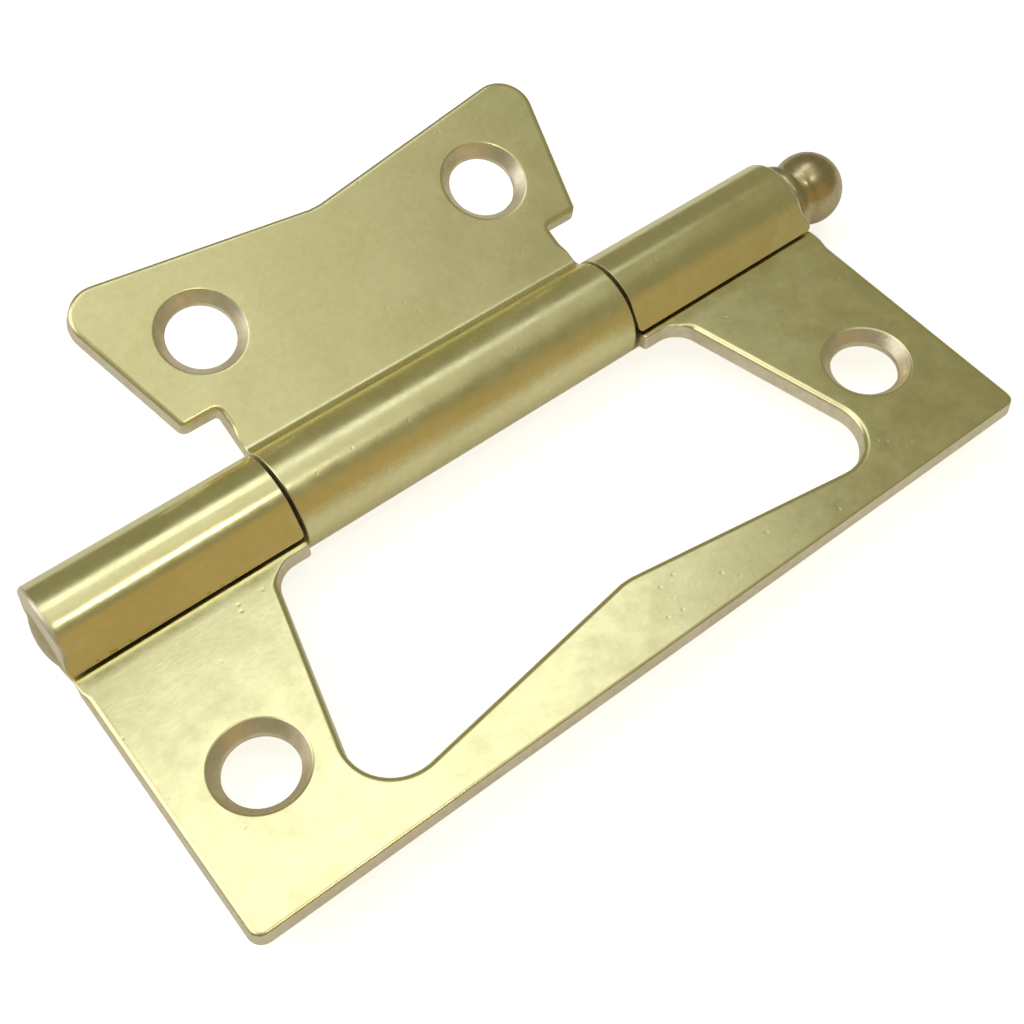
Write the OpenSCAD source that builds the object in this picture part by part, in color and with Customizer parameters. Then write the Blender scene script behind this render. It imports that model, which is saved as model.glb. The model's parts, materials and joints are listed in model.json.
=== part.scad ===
// Flush door hinge. A smaller inner leaf folds into the window of the frame leaf,
// so the closed hinge is one sheet thick. Both leaves are sheet metal, rolled at one
// edge round a ball-headed pin.
//
// X runs along the pin towards its ball head, and the frame leaf lies towards -Y of the
// pin. The origin is the centre of the frame leaf's two screw holes, on the face that is
// screwed down. Inside the modules a leaf is drawn from the pin axis: "along" runs along
// the pin and "reach" is the distance from the pin axis.

/* [Hinge] */
// Length of the three knuckles together
hinge_length = 76; // [70:1:92]
// Length of each end knuckle
end_knuckle = 20.6; // [17:0.1:25]
// Gap between neighbouring knuckles
knuckle_gap = 0.3; // [0.2:0.05:0.6]
// Angle by which the inner leaf stands up from the flat open position
lift_angle = 21; // [0:1:60]
// Facets of a full circle
facets = 96; // [48:8:160]

/* [Sheet and roll] */
// Sheet thickness of both leaves
sheet = 1.5; // [1.2:0.1:1.8]
// Diameter of the bore rolled round the pin
bore_d = 6; // [5:0.1:7.2]
// Distance of a leaf's middle plane from the pin axis
leaf_offset = 0.25; // [0:0.05:0.5]
// Radius of the sheet's middle plane where a leaf bends into its roll
bend_r = 1.8; // [1.4:0.1:2.4]
// Gap between a roll's free end and the leaf it closes on
seam_gap = 0.2; // [0.1:0.05:0.3]

/* [Inner leaf] */
// Distance from the pin axis to the far corners
inner_reach = 24.1; // [20:0.1:29]
// Distance from the pin axis to the near edge of the ears
ear_reach = 8.8; // [8:0.2:11]
// How far each ear stands out beyond the central knuckle
ear_step = 3.3; // [2:0.1:4.2]
// How far each far corner stands out beyond the ear
side_flare = 4; // [2:0.2:6]
// Depth of the shallow vee in the far edge
vee_depth = 3.4; // [1:0.2:5]
// Radius of the far corners
inner_corner_r = 3; // [1:0.2:4]
// Radius of the ears' corners
ear_corner_r = 0.8; // [0.3:0.1:1.2]
// Radius of the notch where each ear meets the roll's neck
ear_root_r = 0.3; // [0.2:0.1:0.8]

/* [Frame leaf] */
// Clearance along the pin between the inner leaf and the window it folds into
side_clearance = 1.4; // [1:0.1:2]
// Clearance between the inner leaf's far corners and the window
far_clearance = 2.9; // [1:0.1:3]
// Clearance between the inner leaf's vee and the window
vee_clearance = 2.3; // [1:0.1:3]
// Width of the strip beyond the window's far corners
far_strip = 2.9; // [2:0.1:6]
// Radius of the window's far corners
window_corner_r = 3; // [1:0.2:4]
// Radius of the window's corners beside the knuckles
window_root_r = 2.4; // [1:0.2:3]
// Radius of the leaf's far corners
frame_corner_r = 1.2; // [0.5:0.1:2.5]

/* [Screw holes] */
// Diameter of the screw holes
screw_hole_d = 5.9; // [4:0.1:6.4]
// Diameter of the countersinks at the leaf's face
countersink_d = 7.5; // [6.6:0.1:8.4]
// Length of the straight hole below each countersink
hole_land = 0.6; // [0.4:0.1:0.8]
// Distance from the pin axis to the frame leaf's screw holes
frame_hole_reach = 19; // [14:0.5:22]
// Shift of the frame leaf's screw holes from the middle of their strip
frame_hole_shift = -0.5; // [-1:0.1:1]
// Distance from the ends of the ears to the inner leaf's screw holes
inner_hole_inset = 5.9; // [5:0.1:8]
// Shift of the inner leaf's screw holes from the middle between the ears and the far edge
inner_hole_shift = -0.4; // [-1:0.1:1]

/* [Pin] */
// Radial clearance between the pin and its bore
pin_clearance = 0.05; // [0.02:0.01:0.1]
// Diameter of the ball head
ball_d = 6.8; // [6:0.1:8.4]
// Diameter of the collar under the ball head
collar_d = 7.2; // [6.5:0.1:8.4]
// Length of the collar under the ball head
collar_length = 1.2; // [0.6:0.1:2]
// Diameter of the neck between the collar and the ball
neck_d = 5.6; // [4.8:0.1:5.9]
// Length of the neck between the collar and the ball
neck_length = 0.8; // [0.4:0.1:2]
// Gap between the collar and the knuckle beside it
collar_gap = 0.1; // [0.05:0.05:0.5]
// Height of the dome on the pin's plain tail
tail_dome = 0.8; // [0.4:0.1:1.2]
// How far the domed tail stands out of the last knuckle
tail_stand = 0.5; // [0:0.1:1]

/* [Hidden] */
$fn = facets;

brass = "#d9d29a";
pin_brass = "#b5aa6c";
arc_steps = 10;

// The roll and the bend that leads into it; the bend laps bend_lap degrees into the roll
bore_r = bore_d / 2;
roll_r = bore_r + sheet;
bend_height = leaf_offset + bend_r;
bend_reach = sqrt(pow(bore_r + sheet / 2 + bend_r, 2) - pow(bend_height, 2));
bend_angle = atan2(bend_height, bend_reach);
bend_lap = 8;
slot_angle = bend_angle - bend_lap / 2;
seam_height = leaf_offset - sheet / 2 - seam_gap;
leaf_under = leaf_offset - sheet / 2;
leaf_top = leaf_offset + sheet / 2;
beyond = 3 * roll_r;

// The inner leaf's outline, and the window that clears it
hinge_half = hinge_length / 2;
knuckle_inside = hinge_half - end_knuckle;
neck_half = knuckle_inside - knuckle_gap;
ear_half = neck_half + ear_step;
flare_slope = side_flare / (inner_reach - ear_reach);
vee_reach = inner_reach - vee_depth;
vee_flat = 1;

// How far the bend laps into the flat leaf, and where the window starts behind it
leaf_lap = 0.1;
window_near = bend_reach + 2 * leaf_lap;
window_far = inner_reach + far_clearance;
window_vee = vee_reach + vee_clearance;
frame_reach = window_far + far_strip;

// Screw holes, as [along, reach]
frame_hole = [(window_half(frame_hole_reach) + hinge_half) / 2 + frame_hole_shift, frame_hole_reach];
inner_hole_along = ear_half - inner_hole_inset;
far_edge_at_hole = vee_reach + vee_depth * inner_hole_along / (ear_half + side_flare);
inner_hole = [inner_hole_along, (ear_reach + far_edge_at_hole) / 2 + inner_hole_shift];
countersink_depth = sheet - hole_land;
axis_height = leaf_top;

// The pin, from its tail to its ball
pin_r = bore_r - pin_clearance;
tail_end = -hinge_half - tail_stand;
dome_r = (pow(pin_r, 2) + pow(tail_dome, 2)) / (2 * tail_dome);
neck_start = hinge_half + collar_gap + collar_length;
ball_centre = neck_start + neck_length + sqrt(pow(ball_d, 2) - pow(neck_d, 2)) / 2;

// Half the window's length along the pin, at a given reach
function window_half(reach) = ear_half + side_clearance + flare_slope * (reach - ear_reach);

function unit(v) = v / norm(v);

// Points along an arc, with angles in degrees
function arc(centre, r, from, to) =
    [for (step = [0:arc_steps])
        let (angle = from + (to - from) * step / arc_steps)
        centre + r * [cos(angle), sin(angle)]];

// The points that round one corner of an outline: from, at and to are its corners
function corner_points(from, at, to, r) =
    let (
        back = unit(from - at),
        ahead = unit(to - at),
        half = acos(back * ahead) / 2,
        centre = at + unit(back + ahead) * r / sin(half),
        start = at + back * r / tan(half) - centre,
        start_angle = atan2(start.y, start.x),
        turn = sign(cross(ahead, back)) * (180 - 2 * half)
    )
    arc(centre, r, start_angle, start_angle + turn);

// An outline with rounded corners, each given as [along, reach, radius]
function rounded(corners) =
    let (
        count = len(corners),
        places = [for (c = corners) [c.x, c.y]]
    )
    [for (i = [0:count - 1])
        each corners[i].z == 0
            ? [places[i]]
            : corner_points(places[(i + count - 1) % count], places[i], places[(i + 1) % count], corners[i].z)];

// Corners of one side, then the same corners mirrored in reverse order
function both_sides(corners) =
    concat(corners, [for (i = [len(corners) - 1:-1:0]) [-corners[i].x, corners[i].y, corners[i].z]]);

// The sheet seen along the pin, which is at 0, 0: the roll with the slot left at its free end
module roll_section() {
    difference() {
        circle(roll_r);
        circle(bore_r);
        polygon([[0, 0], [0, seam_height], [beyond, seam_height], [beyond, beyond * tan(slot_angle)]]);
    }
}

// The reverse bend between the flat leaf and the roll, lapping a little into both
module bend_section() {
    centre = [bend_reach, bend_height];
    last = 180 + bend_angle + bend_lap;
    polygon([
        [bend_reach + leaf_lap, leaf_under],
        [bend_reach + leaf_lap, leaf_top],
        each arc(centre, bend_r - sheet / 2, 270, last),
        (bore_r + sheet / 2) * [cos(bend_angle + bend_lap), sin(bend_angle + bend_lap)],
        each arc(centre, bend_r + sheet / 2, last, 270)
    ]);
}

// A rolled knuckle and its bend, between two places along the pin
module knuckle(from, to) {
    translate([from, 0, 0])
        rotate([90, 0, 90])
            linear_extrude(height = to - from) {
                roll_section();
                bend_section();
            }
}

// A flat piece of sheet with the given outline
module plate(outline) {
    translate([0, 0, leaf_under])
        linear_extrude(height = sheet)
            polygon(outline);
}

// A leaf's two screw holes, each countersunk from the face at sunk_height
module screw_holes(place, sunk_height) {
    turn = sunk_height > leaf_offset ? 0 : 180;
    for (side = [-1, 1])
        translate([side * place.x, place.y, sunk_height])
            rotate([turn, 0, 0]) {
                translate([0, 0, -2 * sheet])
                    cylinder(h = 3 * sheet, d = screw_hole_d);
                translate([0, 0, -countersink_depth])
                    cylinder(h = countersink_depth, d1 = screw_hole_d, d2 = countersink_d);
            }
}

// A leaf is drawn towards +Y, flat open; this puts its pin axis where the hinge's is
module at_pin_axis() {
    translate([0, frame_hole_reach, axis_height])
        children();
}

module inner_leaf() {
    outline = rounded(both_sides([
        [neck_half, bend_reach, 0],
        [neck_half, ear_reach, ear_root_r],
        [ear_half, ear_reach, ear_corner_r],
        [ear_half + side_flare, inner_reach, inner_corner_r],
        [vee_flat / 2, vee_reach, 0]
    ]));
    color(brass)
        at_pin_axis()
            rotate([lift_angle, 0, 0])
                difference() {
                    union() {
                        plate(outline);
                        knuckle(-neck_half, neck_half);
                    }
                    screw_holes(inner_hole, leaf_top);
                }
}

module frame_window() {
    outline = rounded(both_sides([
        [window_half(window_near), window_near, window_root_r],
        [window_half(window_far), window_far, window_corner_r],
        [vee_flat / 2, window_vee, 0]
    ]));
    translate([0, 0, -beyond])
        linear_extrude(height = 2 * beyond) {
            polygon(outline);
            translate([-knuckle_inside, 0])
                square([2 * knuckle_inside, window_near + window_root_r]);
        }
}

module frame_leaf() {
    outline = rounded(both_sides([
        [hinge_half, bend_reach, 0],
        [hinge_half, frame_reach, frame_corner_r]
    ]));
    color(brass)
        at_pin_axis()
            rotate([180, 0, 0]) {
                difference() {
                    plate(outline);
                    frame_window();
                    screw_holes(frame_hole, leaf_under);
                }
                knuckle(-hinge_half, -knuckle_inside);
                knuckle(knuckle_inside, hinge_half);
            }
}

// The pin fills the bore, with a domed tail at one end and a ball on a collar at the other
module hinge_pin() {
    color(pin_brass)
        at_pin_axis()
            rotate([0, 90, 0]) {
                intersection() {
                    translate([0, 0, tail_end])
                        cylinder(h = neck_start - tail_end, r = pin_r);
                    translate([0, 0, tail_end + dome_r])
                        union() {
                            sphere(dome_r);
                            cylinder(h = hinge_length + dome_r, r = dome_r);
                        }
                }
                translate([0, 0, hinge_half + collar_gap])
                    cylinder(h = collar_length, d = collar_d);
                translate([0, 0, neck_start])
                    cylinder(h = ball_centre - neck_start, d = neck_d);
                translate([0, 0, ball_centre])
                    sphere(d = ball_d);
            }
}

frame_leaf();
inner_leaf();
hinge_pin();
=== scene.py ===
"""Flush door hinge of brass-plated sheet, lying open on a pale floor.

A leaf is one piece of sheet. It is drawn flat, with its edges already rounded as the press
leaves them, and roll_up() bends the strip beyond the flat leaf round the pin. In the flat
drawing "along" runs along the pin, "reach" is the distance from the pin axis and "depth" runs
through the sheet. The strip that becomes the roll goes on past the bend, at smaller and then
negative reaches. Lengths are in metres.
"""
import json
import math

import bmesh
import bpy
import numpy as np
from mathutils import Matrix, Vector
from mathutils.geometry import delaunay_2d_cdt


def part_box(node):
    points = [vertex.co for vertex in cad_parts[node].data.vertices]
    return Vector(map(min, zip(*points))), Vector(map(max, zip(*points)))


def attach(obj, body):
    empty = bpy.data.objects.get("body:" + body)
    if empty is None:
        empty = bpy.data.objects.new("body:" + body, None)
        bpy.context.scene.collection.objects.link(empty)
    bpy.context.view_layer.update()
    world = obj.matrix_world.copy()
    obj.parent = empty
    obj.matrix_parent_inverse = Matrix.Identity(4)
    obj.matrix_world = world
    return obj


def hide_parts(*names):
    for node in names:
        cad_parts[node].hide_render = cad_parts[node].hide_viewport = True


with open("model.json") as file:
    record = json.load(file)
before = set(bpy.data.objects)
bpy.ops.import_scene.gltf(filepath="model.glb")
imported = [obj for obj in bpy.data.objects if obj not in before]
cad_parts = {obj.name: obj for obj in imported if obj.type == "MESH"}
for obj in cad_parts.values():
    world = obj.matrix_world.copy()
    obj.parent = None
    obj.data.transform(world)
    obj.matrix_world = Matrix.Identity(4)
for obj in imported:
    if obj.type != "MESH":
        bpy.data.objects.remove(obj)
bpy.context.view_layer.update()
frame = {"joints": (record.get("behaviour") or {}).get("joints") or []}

MM = 0.001

# What the frame gives. Shut is half a turn from flat, so the swing's range also gives the lift at rest.
swing = next(j for j in frame["joints"] if j["name"] == "leaf_swing")
PIN_AXIS = Vector(swing["pos_m"])
LIFT = math.radians(180 - max(swing["range_deg"]))
FRAME_LOW, FRAME_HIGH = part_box("frame_leaf")
PIN_LOW, PIN_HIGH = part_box("hinge_pin")
HALF_LENGTH = FRAME_HIGH.x
FRAME_REACH = PIN_AXIS.y - FRAME_LOW.y
ROLL_R = FRAME_HIGH.y - PIN_AXIS.y
FLOOR_HEIGHT = FRAME_LOW.z

# The sheet and its roll
SHEET = 1.5 * MM
HALF_SHEET = SHEET / 2
LEAF_OFFSET = 0.25 * MM
BEND_R = 1.8 * MM
SEAM_GAP = 0.06 * MM
BORE_R = ROLL_R - SHEET
MID_R = BORE_R + HALF_SHEET
BEND_HEIGHT = LEAF_OFFSET + BEND_R
BEND_REACH = math.sqrt((MID_R + BEND_R) ** 2 - BEND_HEIGHT ** 2)
BEND_ANGLE = math.atan2(BEND_HEIGHT, BEND_REACH)
BEND_START = math.radians(270)
BEND_LENGTH = BEND_R * (math.radians(90) - BEND_ANGLE)
SEAM_ANGLE = math.asin((HALF_SHEET + SEAM_GAP - LEAF_OFFSET) / MID_R)
ROLL_END = BEND_REACH - BEND_LENGTH - MID_R * (math.radians(360) - SEAM_ANGLE - BEND_ANGLE)

# The outside of the strip's last stretch is flat: where that starts, and the direction it faces
STRAIGHT_START = math.radians(312)
STRAIGHT_NORMAL = math.radians(328)

# The leaves' outlines
END_KNUCKLE = 20.6 * MM
KNUCKLE_GAP = 0.3 * MM
EAR_STEP = 3.3 * MM
EAR_REACH = 8.8 * MM
INNER_REACH = 24.1 * MM
SIDE_FLARE = 4 * MM
VEE_DEPTH = 3.4 * MM
VEE_HALF = 0.5 * MM
KNUCKLE_INSIDE = HALF_LENGTH - END_KNUCKLE
NECK_HALF = KNUCKLE_INSIDE - KNUCKLE_GAP
EAR_HALF = NECK_HALF + EAR_STEP
FAR_CORNER = EAR_HALF + SIDE_FLARE
FLARE_SLOPE = SIDE_FLARE / (INNER_REACH - EAR_REACH)
VEE_REACH = INNER_REACH - VEE_DEPTH

# The window, which clears the inner leaf all round
SIDE_CLEARANCE = 1.4 * MM
NEAR_CLEARANCE = 0.2 * MM
FAR_CLEARANCE = 2.9 * MM
VEE_CLEARANCE = 2.3 * MM
WINDOW_NEAR = BEND_REACH + NEAR_CLEARANCE
WINDOW_FAR = INNER_REACH + FAR_CLEARANCE
WINDOW_VEE = VEE_REACH + VEE_CLEARANCE

# The outlines' corners
FRAME_CORNER_R = 1.2 * MM
WINDOW_CORNER_R = 3.8 * MM
WINDOW_ROOT_R = 2.4 * MM
INNER_CORNER_R = 3 * MM
EAR_CORNER_R = 0.8 * MM
VEE_CORNER_R = 1.5 * MM
KNUCKLE_CORNER_R = 0.35 * MM

# Screw holes
HOLE_R = 2.95 * MM
COUNTERSINK_R = 3.75 * MM
COUNTERSINK_DEPTH = 0.9 * MM
HOLE_LIP = 0.12 * MM
FRAME_HOLE_REACH = 19 * MM
FRAME_HOLE_SHIFT = -0.5 * MM
INNER_HOLE_INSET = 5.9 * MM
INNER_HOLE_SHIFT = -0.4 * MM

# Edges, as the press leaves them: the face rolls over into the wall, which leans out to the back
ROLLOVER = 0.5 * MM
ROLLOVER_DEPTH = 0.32 * MM
WALL_LEAN = 0.16 * MM
BACK_ROUND = 0.12 * MM
EDGE_MARGIN = 0.08 * MM

# The share of that rounding which the roll's edges keep, where it starts to grow towards the flat leaf,
# and the share of the growth which the frame leaf's long edge loses
CRISP = 0.3
ROUNDED_FROM = BEND_REACH + 0.8 * MM
LONG_EDGE_LOSS = 0.7

# The barrel's outer ends: their rounding, their lean, where along the strip that begins, and how near
# to the end a point counts as on it
BARREL_END_ROUND = 0.45 * MM
BARREL_END_LEAN = 0.25 * MM
BARREL_END_FROM = ROLL_END + 0.6 * MM
ON_THE_END = 0.05 * MM

# The pin
PIN_CLEARANCE = 0.05 * MM
TAIL_DOME = 0.8 * MM
COLLAR_R = 3.6 * MM
COLLAR_GAP = 0.1 * MM
COLLAR_LENGTH = 1.2 * MM
COLLAR_ROUND = 0.35 * MM
NECK_R = 2.8 * MM
BALL_R = 3.4 * MM
BALL_START = 4  # how far round from the neck's radius the ball's arc starts, in degrees

# Mesh fineness
EDGE_STEP = 0.4 * MM
ARC_STEP = 0.12 * MM
ROLL_STEP = 0.35 * MM
FLAT_STEP = 1.1 * MM
ROUND_STEPS = 6
HOLE_SIDES = 96
PIN_SIDES = 128
DOME_STEPS = 12
COLLAR_STEPS = 5
BALL_STEPS = 40

# What the triangulation is told: fill the convex hull, and weld points nearer than this, in metres
CONVEX_HULL = 0
WELD = 1e-7

FACE, CUT_EDGE = 0, 1


def window_half(reach):
    """Half the window's length along the pin, at a given reach."""
    return EAR_HALF + SIDE_CLEARANCE + FLARE_SLOPE * (reach - EAR_REACH)


def frame_hole():
    """The frame leaf's +X hole, just inwards of halfway from the window to the leaf's end."""
    halfway = (window_half(FRAME_HOLE_REACH) + HALF_LENGTH) / 2
    return Vector((halfway + FRAME_HOLE_SHIFT, FRAME_HOLE_REACH))


def inner_hole():
    """The inner leaf's +X hole, just nearer the pin than halfway from its ear to its far edge."""
    along = EAR_HALF - INNER_HOLE_INSET
    far_edge = VEE_REACH + VEE_DEPTH * along / FAR_CORNER
    return Vector((along, (EAR_REACH + far_edge) / 2 + INNER_HOLE_SHIFT))


# ---------------------------------------------------------------- flat drawing


def corner_arc(before, at, after, radius):
    """The points that round one corner of an outline."""
    back = (before - at).normalized()
    ahead = (after - at).normalized()
    half = back.angle(ahead) / 2
    centre = at + (back + ahead).normalized() * radius / math.sin(half)
    start = at + back * radius / math.tan(half) - centre
    turn = math.pi - 2 * half
    if ahead.cross(back) < 0:
        turn = -turn
    steps = max(2, math.ceil(radius * abs(turn) / ARC_STEP))
    return [centre + Matrix.Rotation(turn * k / steps, 2) @ start for k in range(steps + 1)]


def subdivided(points):
    """The closed outline with no edge longer than EDGE_STEP."""
    result = []
    for here, there in zip(points, points[1:] + points[:1]):
        steps = max(1, math.ceil((there - here).length / EDGE_STEP))
        result += [here.lerp(there, k / steps) for k in range(steps)]
    return result


def outline(half_corners):
    """A whole outline from the corners of its +X half, in order, each (along, reach, radius)."""
    mirrored = [(-along, reach, radius) for along, reach, radius in reversed(half_corners)]
    corners = half_corners + mirrored
    places = [Vector(c[:2]) for c in corners]
    points = []
    for i, (_, _, radius) in enumerate(corners):
        after = places[(i + 1) % len(places)]
        points += corner_arc(places[i - 1], places[i], after, radius)
    points = subdivided(points)
    area = sum(a.cross(b) for a, b in zip(points, points[1:] + points[:1]))
    return points if area > 0 else points[::-1]


def inward(points):
    """For each point of a counter-clockwise outline, the step that takes it 1 metre in from its edges."""
    result = []
    for i, point in enumerate(points):
        first = (point - points[i - 1]).normalized()
        second = (points[(i + 1) % len(points)] - point).normalized()
        normals = [Vector((-d.y, d.x)) for d in (first, second)]
        result.append((normals[0] + normals[1]) / (1 + normals[0].dot(normals[1])))
    return result


def ramp(value, start):
    """Climbs from 0 to 1 over the millimetre after start."""
    return min(1, max(0, (value - start) / MM))


def softness(point):
    """The share of its full rounding that the sheet's edge has at a point of the outline."""
    rounded = ramp(point.y, ROUNDED_FROM) - LONG_EDGE_LOSS * ramp(point.y, FRAME_REACH - MM)
    return CRISP + (1 - CRISP) * rounded


def barrel_end(point):
    """1 on the frame leaf's outer ends where they are rolled, and 0 away from them."""
    if abs(point.x) < HALF_LENGTH - ON_THE_END:
        return 0
    return ramp(point.y, BARREL_END_FROM) * ramp(-point.y, -BEND_REACH)


def edge_profile():
    """A sheet edge from the face to the back.

    Each point is (distance in from the edge, side, distance in from that side), with 1 for the
    face's side and -1 for the back's.
    """
    face = [(WALL_LEAN + ROLLOVER + EDGE_MARGIN, 1, 0)]
    back = [(BACK_ROUND + EDGE_MARGIN, -1, 0)]
    for k in range(ROUND_STEPS + 1):
        turn = math.radians(90) * k / ROUND_STEPS
        across = 1 - math.sin(turn)
        down = 1 - math.cos(turn)
        face.append((WALL_LEAN + ROLLOVER * across, 1, ROLLOVER_DEPTH * down))
        back.append((BACK_ROUND * across, -1, BACK_ROUND * down))
    return face + back[::-1]


def edge_rings(bm, border, sunk_side):
    """The rings of vertices that round off the outline, from the face to the back."""
    steps = inward(border)
    rings = []
    for distance, side, drop in edge_profile():
        ring = []
        for point, step in zip(border, steps):
            soft = softness(point)
            lean = 0
            if side < 0:
                end = barrel_end(point)
                soft += end * (BARREL_END_ROUND / BACK_ROUND - soft)
                lean = end * BARREL_END_LEAN
            place = point + step * (distance * soft + lean)
            ring.append(bm.verts.new((*place, sunk_side * side * (HALF_SHEET - drop * soft))))
        rings.append(ring)
    return rings


def hole_profile():
    """A countersunk hole's wall from the sunk face to the other: (radius, depth)."""
    knee = HALF_SHEET - COUNTERSINK_DEPTH
    return [
        (COUNTERSINK_R + 2 * HOLE_LIP, HALF_SHEET),
        (COUNTERSINK_R + HOLE_LIP / 2, HALF_SHEET - HOLE_LIP / 20),
        (COUNTERSINK_R, HALF_SHEET - HOLE_LIP / 2),
        (HOLE_R + HOLE_LIP / 3, knee + HOLE_LIP / 2),
        (HOLE_R, knee),
        (HOLE_R, -HALF_SHEET + HOLE_LIP),
        (HOLE_R + HOLE_LIP / 2, -HALF_SHEET + HOLE_LIP / 6),
        (HOLE_R + 2 * HOLE_LIP, -HALF_SHEET),
    ]


def stitch(bm, rings, cut_from, cut_to):
    """Joins rings of vertices with quads. Those between rings cut_from and cut_to are the sheared wall."""
    for number, (upper, lower) in enumerate(zip(rings, rings[1:])):
        for i in range(len(upper)):
            face = bm.faces.new((upper[i - 1], lower[i - 1], lower[i], upper[i]))
            face.material_index = CUT_EDGE if cut_from <= number < cut_to else FACE


def inside(points, loop):
    """Which of the points, as an array, are inside a closed outline."""
    found = np.zeros(len(points), bool)
    for a, b in zip(loop, np.roll(loop, -1, axis=0)):
        crosses = (a[1] > points[:, 1]) != (b[1] > points[:, 1])
        where = a[0] + (points[:, 1] - a[1]) / ((b[1] - a[1]) or 1) * (b[0] - a[0])
        found ^= crosses & (points[:, 0] < where)
    return found


def grid_points(loops):
    """Points inside the first outline and outside the others, closer together where the sheet is rolled."""
    half = max(abs(p.x) for p in loops[0])
    far = max(p.y for p in loops[0])
    rolled = np.linspace(ROLL_END, BEND_REACH, math.ceil((BEND_REACH - ROLL_END) / ROLL_STEP))
    flat = np.arange(BEND_REACH + FLAT_STEP, far, FLAT_STEP)
    fine = np.arange(-half, half, EDGE_STEP)
    coarse = np.arange(-half, half, FLAT_STEP)
    points = np.concatenate([
        np.array([(x, y) for y in rolled for x in fine]),
        np.array([(x, y) for y in flat for x in coarse]),
    ])
    keep = np.ones(len(points), bool)
    for number, loop in enumerate(loops):
        corners = np.array([tuple(p) for p in loop])
        keep &= inside(points, corners) == (number == 0)
    points = points[keep]
    edges = np.concatenate([np.array([tuple(p) for p in loop]) for loop in loops])
    nearest = np.min(np.linalg.norm(points[:, None] - edges[None], axis=2), axis=1)
    return points[nearest > EDGE_STEP / 2]


def fill(bm, rings, depth):
    """Fills one face of the sheet between the outline's ring and the holes' rings."""
    loops = [[v.co.xy for v in ring] for ring in rings]
    extra = [bm.verts.new((x, y, depth)) for x, y in grid_points(loops)]
    verts = [v for ring in rings for v in ring] + extra
    edges = []
    first = 0
    for ring in rings:
        edges += [(first + i, first + (i + 1) % len(ring)) for i in range(len(ring))]
        first += len(ring)
    places = [v.co.xy for v in verts]
    made, _, triangles, origins, _, _ = delaunay_2d_cdt(places, edges, [], CONVEX_HULL, WELD, True)
    middles = np.array([tuple(sum((made[i] for i in t), Vector((0, 0))) / 3) for t in triangles])
    wanted = np.ones(len(middles), bool)
    for number, loop in enumerate(loops):
        wanted &= inside(middles, np.array([tuple(p) for p in loop])) == (number == 0)
    for triangle, keep in zip(triangles, wanted):
        if keep:
            bm.faces.new([verts[origins[i][0]] for i in triangle])


def flat_sheet(border, hole, sunk_side):
    """A flat leaf as a closed mesh, with two countersunk holes at plus and minus hole's place."""
    bm = bmesh.new()
    rings = edge_rings(bm, border, sunk_side)
    wall_from = 1 + ROUND_STEPS * 2 // 3
    wall_to = 2 + 2 * ROUND_STEPS
    stitch(bm, rings, wall_from, wall_to)
    sunk_rings = [rings[0]]
    other_rings = [rings[-1]]
    for side in (-1, 1):
        hole_rings = []
        for radius, depth in hole_profile():
            ring = []
            for k in range(HOLE_SIDES):
                turn = math.radians(-360) * k / HOLE_SIDES
                along = side * hole.x + radius * math.cos(turn)
                reach = hole.y + radius * math.sin(turn)
                ring.append(bm.verts.new((along, reach, sunk_side * depth)))
            hole_rings.append(ring)
        stitch(bm, hole_rings, 1, len(hole_rings) - 2)
        sunk_rings.append(hole_rings[0])
        other_rings.append(hole_rings[-1])
    fill(bm, sunk_rings, sunk_side * HALF_SHEET)
    fill(bm, other_rings, -sunk_side * HALF_SHEET)
    return bm


# ---------------------------------------------------------------- the bent leaves


def roll_up(point):
    """Where a point of the flat drawing goes when the sheet is rolled round a pin through 0, 0."""
    along, reach, depth = point
    wrapped = BEND_REACH - reach
    if wrapped <= 0:
        return Vector((along, reach, LEAF_OFFSET + depth))
    if wrapped <= BEND_LENGTH:
        angle = BEND_START - wrapped / BEND_R
        radius = BEND_R - depth
        outwards = BEND_REACH + radius * math.cos(angle)
        return Vector((along, outwards, BEND_HEIGHT + radius * math.sin(angle)))
    angle = BEND_ANGLE + (wrapped - BEND_LENGTH) / MID_R
    radius = MID_R + depth
    if angle > STRAIGHT_START:
        chord = ROLL_R * math.cos(STRAIGHT_NORMAL - STRAIGHT_START) / math.cos(angle - STRAIGHT_NORMAL)
        radius -= (ROLL_R - chord) * (depth + HALF_SHEET) / SHEET
    return Vector((along, radius * math.cos(angle), radius * math.sin(angle)))


def as_object(name, bm, materials):
    """Makes a smooth-shaded object of a mesh, which it uses up."""
    bmesh.ops.recalc_face_normals(bm, faces=bm.faces)
    mesh = bpy.data.meshes.new(name)
    bm.to_mesh(mesh)
    bm.free()
    mesh.polygons.foreach_set("use_smooth", [True] * len(mesh.polygons))
    for material in materials:
        mesh.materials.append(material)
    piece = bpy.data.objects.new(name, mesh)
    bpy.context.scene.collection.objects.link(piece)
    return piece


def leaf(name, border, hole, sunk_side, turn, materials):
    """A rolled leaf, turned about the pin axis to its place."""
    bm = flat_sheet(border, hole, sunk_side)
    place = Matrix.Translation(PIN_AXIS) @ Matrix.Rotation(turn, 4, "X")
    for vert in bm.verts:
        vert.co = place @ roll_up(vert.co)
    return as_object(name, bm, materials)


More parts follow.
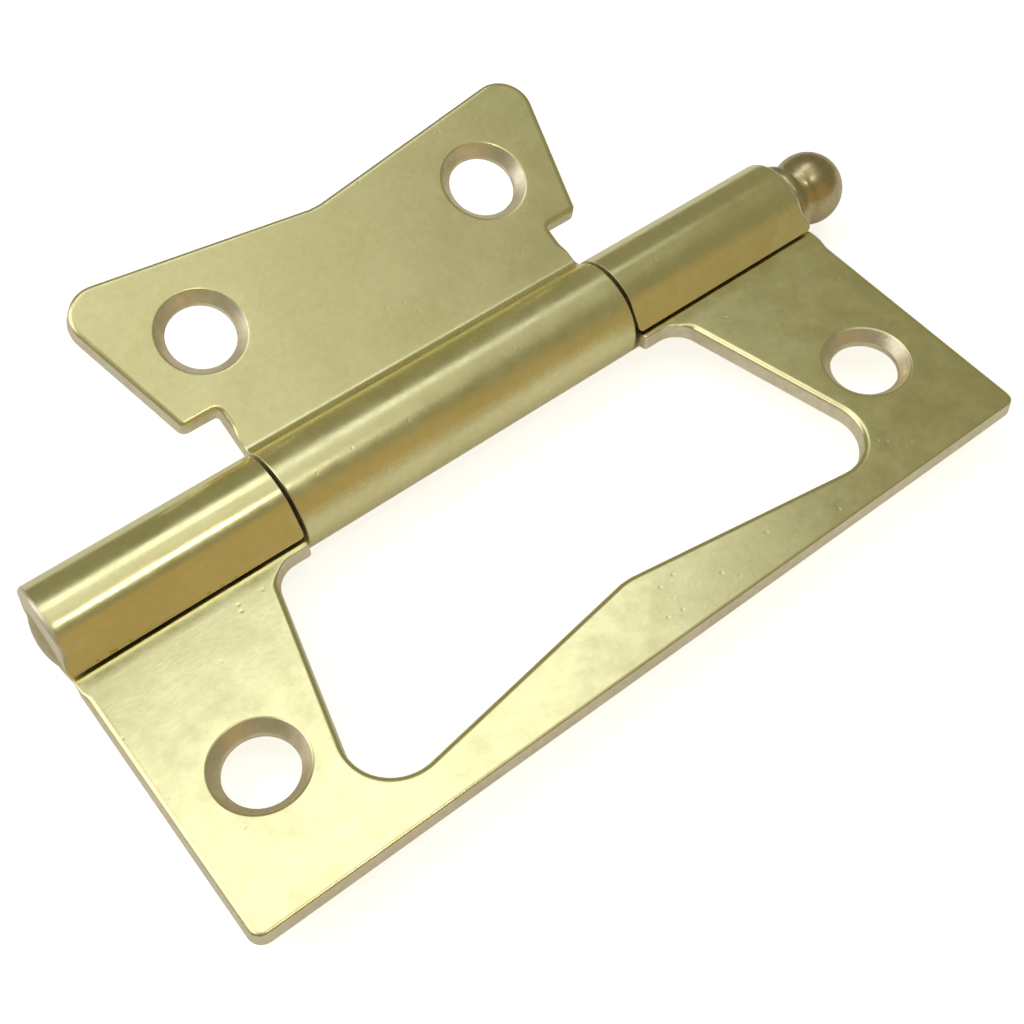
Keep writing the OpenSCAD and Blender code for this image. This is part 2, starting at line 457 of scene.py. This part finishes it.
def frame_leaf(materials):
    """The leaf with the window and the two end knuckles, on the other side of the pin from the inner leaf."""
    border = outline([
        (VEE_HALF, WINDOW_VEE, VEE_CORNER_R),
        (window_half(WINDOW_FAR), WINDOW_FAR, WINDOW_CORNER_R),
        (window_half(WINDOW_NEAR), WINDOW_NEAR, WINDOW_ROOT_R),
        (KNUCKLE_INSIDE, WINDOW_NEAR, KNUCKLE_CORNER_R),
        (KNUCKLE_INSIDE, ROLL_END, KNUCKLE_CORNER_R),
        (HALF_LENGTH, ROLL_END, KNUCKLE_CORNER_R),
        (HALF_LENGTH, FRAME_REACH, FRAME_CORNER_R),
    ])
    return leaf("frame_leaf_sheet", border, frame_hole(), -1, math.pi, materials)


def inner_leaf(materials):
    """The leaf that folds into the window, with the middle knuckle."""
    border = outline([
        (VEE_HALF, VEE_REACH, VEE_CORNER_R),
        (FAR_CORNER, INNER_REACH, INNER_CORNER_R),
        (EAR_HALF, EAR_REACH, EAR_CORNER_R),
        (NECK_HALF, EAR_REACH, KNUCKLE_CORNER_R),
        (NECK_HALF, ROLL_END, KNUCKLE_CORNER_R),
    ])
    return leaf("inner_leaf_sheet", border, inner_hole(), 1, LIFT, materials)


# ---------------------------------------------------------------- the pin


def arc(centre, radius, start, end, steps):
    """Points of a profile's arc, as (along, distance from the axis), with angles in degrees."""
    angles = [math.radians(start + (end - start) * k / steps) for k in range(steps + 1)]
    return [(centre[0] + radius * math.cos(t), centre[1] + radius * math.sin(t)) for t in angles]


def pin_profile():
    """The pin's outline from its tail to the tip of its ball."""
    pin_r = BORE_R - PIN_CLEARANCE
    dome_r = (pin_r ** 2 + TAIL_DOME ** 2) / (2 * TAIL_DOME)
    dome_angle = math.degrees(math.asin(pin_r / dome_r))
    collar_start = HALF_LENGTH + COLLAR_GAP
    collar_end = collar_start + COLLAR_LENGTH
    edge = COLLAR_ROUND
    rim = COLLAR_R - edge
    ball_start = math.degrees(math.pi - math.asin(NECK_R / BALL_R)) - BALL_START
    profile = arc((PIN_LOW.x + dome_r, 0), dome_r, 180, 180 - dome_angle, DOME_STEPS)
    profile += [(collar_start, pin_r), (collar_start, rim)]
    profile += arc((collar_start + edge, rim), edge, 180, 90, COLLAR_STEPS)[1:]
    profile += arc((collar_end - edge, rim), edge, 90, 0, COLLAR_STEPS)
    profile += arc((collar_end + edge, NECK_R + edge), edge, 180, 270, COLLAR_STEPS)
    profile += arc((PIN_HIGH.x - BALL_R, 0), BALL_R, ball_start, 0, BALL_STEPS)
    return [(along, max(away, 0)) for along, away in profile]


def hinge_pin(materials):
    """The pin, turned from its profile, with one point at each of its two tips."""
    bm = bmesh.new()
    profile = pin_profile()
    rings = []
    for along, away in profile[1:-1]:
        ring = []
        for k in range(PIN_SIDES):
            turn = math.radians(360) * k / PIN_SIDES
            place = Vector((along, away * math.cos(turn), away * math.sin(turn)))
            ring.append(bm.verts.new(PIN_AXIS + place))
        rings.append(ring)
    stitch(bm, rings, 0, 0)
    for ring, along in ((rings[0], profile[0][0]), (rings[-1], profile[-1][0])):
        tip = bm.verts.new(PIN_AXIS + Vector((along, 0, 0)))
        for i in range(PIN_SIDES):
            bm.faces.new((ring[i - 1], ring[i], tip))
    return as_object("ball_headed_pin", bm, materials)


# ---------------------------------------------------------------- materials

# The brass's markings, in spots per metre
CLOUDS = 160
MOTTLE = 1400
GLOSS_PATCHES = 420
SWELLS = 90
PEBBLES = 2600
PITS = 750
PIT_FIELDS = 170

# The depths that the bumps stand for, how strongly swells and pits show, and the grain's stretch along X
SWELL_DEPTH = 0.5 * MM
GRAIN_DEPTH = 0.02 * MM
SWELL_STRENGTH = 0.13
PIT_STRENGTH = 0.3
PEBBLE_STRETCH = (0.6, 1.0, 1.0)


def node(tree, kind, links=(), **values):
    """A shader node with its inputs set or linked, each by name."""
    made = tree.nodes.new(kind)
    for key, value in values.items():
        setattr(made, key, value)
    for name, value in dict(links).items():
        if isinstance(value, bpy.types.NodeSocket):
            tree.links.new(value, made.inputs[name])
        else:
            made.inputs[name].default_value = value
    return made


def noise(tree, place, scale, detail=3.0, roughness=0.6):
    """Cloudy noise from 0 to 1, with scale in spots per metre."""
    links = {"Vector": place, "Scale": scale, "Detail": detail, "Roughness": roughness}
    return node(tree, "ShaderNodeTexNoise", links).outputs["Fac"]


def band(tree, value, low, high, out_low, out_high):
    """Maps a value from one range to another, held at its ends."""
    links = {"Value": value, "From Min": low, "From Max": high, "To Min": out_low, "To Max": out_high}
    return node(tree, "ShaderNodeMapRange", links).outputs["Result"]


def mixed_colour(tree, factor, first, second, blend="MIX"):
    """Two colours, each a socket or three numbers, mixed or added."""
    made = node(tree, "ShaderNodeMix", {"Factor": factor}, data_type="RGBA", blend_type=blend)
    for socket, colour in ((made.inputs[6], first), (made.inputs[7], second)):
        if isinstance(colour, bpy.types.NodeSocket):
            tree.links.new(colour, socket)
        else:
            socket.default_value = (*colour, 1)
    return made.outputs[2]


def bump(tree, height, distance, strength, normal=None):
    """The normal of a surface whose height, from 0 to 1, stands for a distance in metres."""
    links = {"Height": height, "Distance": distance, "Strength": strength}
    if normal is not None:
        links["Normal"] = normal
    return node(tree, "ShaderNodeBump", links).outputs["Normal"]


def brass(name, bright, dull, rough, grain):
    """Brass plating: cloudy in colour and gloss, with slow swells, fine grain and fields of pits.

    bright and dull are its two colours, rough its lowest and highest roughness, and grain the
    strength of the fine bumps.
    """
    material = bpy.data.materials.new(name)
    material.use_nodes = True
    tree = material.node_tree
    shader = tree.nodes["Principled BSDF"]
    place = node(tree, "ShaderNodeTexCoord").outputs["Object"]
    stretching = {"Vector": place, "Scale": PEBBLE_STRETCH}
    stretched = node(tree, "ShaderNodeMapping", stretching).outputs["Vector"]

    clouds = noise(tree, place, CLOUDS, 4.0)
    mottle = noise(tree, place, MOTTLE, 3.0)
    mixed = node(tree, "ShaderNodeMath", {0: clouds, 1: mottle}, operation="ADD").outputs["Value"]
    tint = band(tree, mixed, 0.7, 1.3, 0.0, 1.0)
    tree.links.new(mixed_colour(tree, tint, dull, bright), shader.inputs["Base Color"])

    gloss = noise(tree, place, GLOSS_PATCHES, 5.0)
    tree.links.new(band(tree, gloss, 0.3, 0.7, rough[0], rough[1]), shader.inputs["Roughness"])

    swells = noise(tree, place, SWELLS, 1.0)
    pebbles = noise(tree, stretched, PEBBLES, 4.0, 0.65)
    pits = node(tree, "ShaderNodeTexVoronoi", {"Vector": place, "Scale": PITS}).outputs["Distance"]
    pit_walls = band(tree, pits, 0.06, 0.16, 0.0, 1.0)
    unpitted = band(tree, noise(tree, place, PIT_FIELDS, 3.0), 0.5, 0.57, 1.0, 0.0)
    covered = node(tree, "ShaderNodeMath", {0: pit_walls, 1: unpitted}, operation="MAXIMUM").outputs["Value"]
    normal = bump(tree, swells, SWELL_DEPTH, SWELL_STRENGTH)
    normal = bump(tree, pebbles, GRAIN_DEPTH, grain, normal)
    normal = bump(tree, covered, GRAIN_DEPTH, PIT_STRENGTH, normal)
    tree.links.new(normal, shader.inputs["Normal"])
    shader.inputs["Metallic"].default_value = 1.0
    return material


def sheared_edge():
    """The wall that the press cuts, paler and rougher than the faces."""
    return brass(
        "sheared_edge", bright=(0.93, 0.84, 0.64), dull=(0.76, 0.67, 0.48), rough=(0.34, 0.5), grain=0.5)


# ---------------------------------------------------------------- floor, light and camera

# The floor, and how strongly it glows in the brass's reflections and to the lens
FLOOR_HALF_WIDTH = 3.0
FLOOR_MIRRORED = 0.15
FLOOR_SEEN = 0.75

# The room that the brass mirrors, and its patches of light. Each patch has its middle and its spread along
# the X and Y of a direction, the share of its spread where it is full, and its colour.
ROOM_COLOUR = (0.27, 0.26, 0.18)
ROOM_PATCHES = (
    ((0.14, 0.40), (0.43, 0.17), 0.5, (0.85, 0.92, 1.12)),
    ((0.11, 0.08), (0.5, 0.65), 0.0, (0.62, 0.64, 0.68)),
    ((-0.5, 0.4), (0.45, 0.55), 0.3, (1.6, 1.6, 1.7)),
    ((0.1, -1.0), (0.8, 0.45), 0.4, (0.17, 0.08, 0.0)),
)
PAPER = (0.95, 0.95, 0.95)

# The camera
SENSOR_WIDTH = 36
LENS_LENGTH = 52.54
LENS_SHIFT = -0.03
EYE = Vector((-44.0, -48.48, 99.66)) * MM
EYE_RIGHT = Vector((0.7843, -0.6204, 0.0062))
EYE_BACK = Vector((-0.3587, -0.4452, 0.8204))


def plain_floor():
    """A floor that the lens sees as pale as its paper, and that the brass mirrors dimmer, as in a room."""
    bm = bmesh.new()
    bmesh.ops.create_grid(bm, x_segments=1, y_segments=1, size=FLOOR_HALF_WIDTH)
    material = bpy.data.materials.new("pale_floor")
    material.use_nodes = True
    tree = material.node_tree
    shader = tree.nodes["Principled BSDF"]
    shader.inputs["Base Color"].default_value = (0.8, 0.8, 0.8, 1)
    shader.inputs["Roughness"].default_value = 0.9
    shader.inputs["Emission Color"].default_value = (1, 0.99, 0.98, 1)
    seen = node(tree, "ShaderNodeLightPath").outputs["Is Camera Ray"]
    strength = band(tree, seen, 0.0, 1.0, FLOOR_MIRRORED, FLOOR_SEEN)
    tree.links.new(strength, shader.inputs["Emission Strength"])
    floor = as_object("floor", bm, [material])
    floor.location = (0, 0, FLOOR_HEIGHT)


def softbox(name, towards, distance, size, radiance):
    """A rectangular lamp that shines on the hinge from a direction. A mirror shows it with this radiance."""
    lamp = bpy.data.lights.new(name, "AREA")
    lamp.shape = "RECTANGLE"
    lamp.size, lamp.size_y = size
    lamp.energy = radiance * math.pi * lamp.size * lamp.size_y
    lamp_object = bpy.data.objects.new(name, lamp)
    bpy.context.scene.collection.objects.link(lamp_object)
    direction = Vector(towards).normalized()
    lamp_object.location = direction * distance
    lamp_object.rotation_mode = "QUATERNION"
    lamp_object.rotation_quaternion = direction.to_track_quat("Z", "Y")


def glow(tree, direction, centre, spread, core):
    """A soft patch of light, full within core of its middle and gone at spread away, along X and Y."""
    flat = (1 / spread[0], 1 / spread[1], 0)
    kind = "ShaderNodeVectorMath"
    away = node(tree, kind, {0: direction, 1: (*centre, 0)}, operation="SUBTRACT").outputs["Vector"]
    scaled = node(tree, kind, {0: away, 1: flat}, operation="MULTIPLY").outputs["Vector"]
    distance = node(tree, kind, {0: scaled}, operation="LENGTH").outputs["Value"]
    links = {"Value": distance, "From Min": 1.0, "From Max": core, "To Min": 0.0, "To Max": 1.0}
    return node(tree, "ShaderNodeMapRange", links, interpolation_type="SMOOTHSTEP").outputs["Result"]


def room_light():
    """A dim warm room with soft patches of light, which the brass mirrors. The lens sees only paper."""
    world = bpy.data.worlds.new("room")
    world.use_nodes = True
    tree = world.node_tree
    direction = node(tree, "ShaderNodeTexCoord").outputs["Generated"]
    light = ROOM_COLOUR
    for centre, spread, core, colour in ROOM_PATCHES:
        light = mixed_colour(tree, glow(tree, direction, centre, spread, core), light, colour, "ADD")
    seen = node(tree, "ShaderNodeLightPath").outputs["Is Camera Ray"]
    background = mixed_colour(tree, seen, light, PAPER)
    tree.links.new(background, tree.nodes["Background"].inputs["Color"])
    bpy.context.scene.world = world


def camera():
    """Stands about 100 mm above the hinge, off the frame leaf's left corner, and looks down at it."""
    lens = bpy.data.cameras.new("camera")
    lens.sensor_width = SENSOR_WIDTH
    lens.lens = LENS_LENGTH
    lens.shift_x = LENS_SHIFT
    lens.clip_start = MM
    eye = bpy.data.objects.new("camera", lens)
    bpy.context.scene.collection.objects.link(eye)
    back = EYE_BACK.normalized()
    up = back.cross(EYE_RIGHT.normalized()).normalized()
    right = up.cross(back)
    turned = Matrix((right, up, back)).transposed().to_4x4()
    eye.matrix_world = Matrix.Translation(EYE) @ turned
    bpy.context.scene.camera = eye


# ---------------------------------------------------------------- the scene

# The frame leaf is glossier than the inner leaf, and the pin is darker than both
frame_brass = brass(
    "frame_brass", bright=(0.88, 0.82, 0.44), dull=(0.81, 0.74, 0.37), rough=(0.13, 0.26), grain=0.15)
inner_brass = brass(
    "inner_brass", bright=(0.88, 0.82, 0.45), dull=(0.80, 0.73, 0.37), rough=(0.20, 0.34), grain=0.25)
pin_brass = brass(
    "pin_brass", bright=(0.60, 0.50, 0.28), dull=(0.45, 0.37, 0.19), rough=(0.22, 0.36), grain=0.25)
sheared = sheared_edge()

for piece, body, cad_node, finish in (
    (frame_leaf([frame_brass, sheared]), "frame", "frame_leaf", "leaf_brass"),
    (inner_leaf([inner_brass, sheared]), "inner", "inner_leaf", "leaf_brass"),
    (hinge_pin([pin_brass]), "pin", "hinge_pin", "pin_brass"),
):
    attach(piece, body)
    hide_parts(cad_node)

camera()
plain_floor()
room_light()
softbox("streak_lamp", towards=(0.08, -0.27, 0.96), distance=0.5, size=(0.1, 0.008), radiance=36.0)
bpy.context.scene.view_settings.view_transform = "Standard"
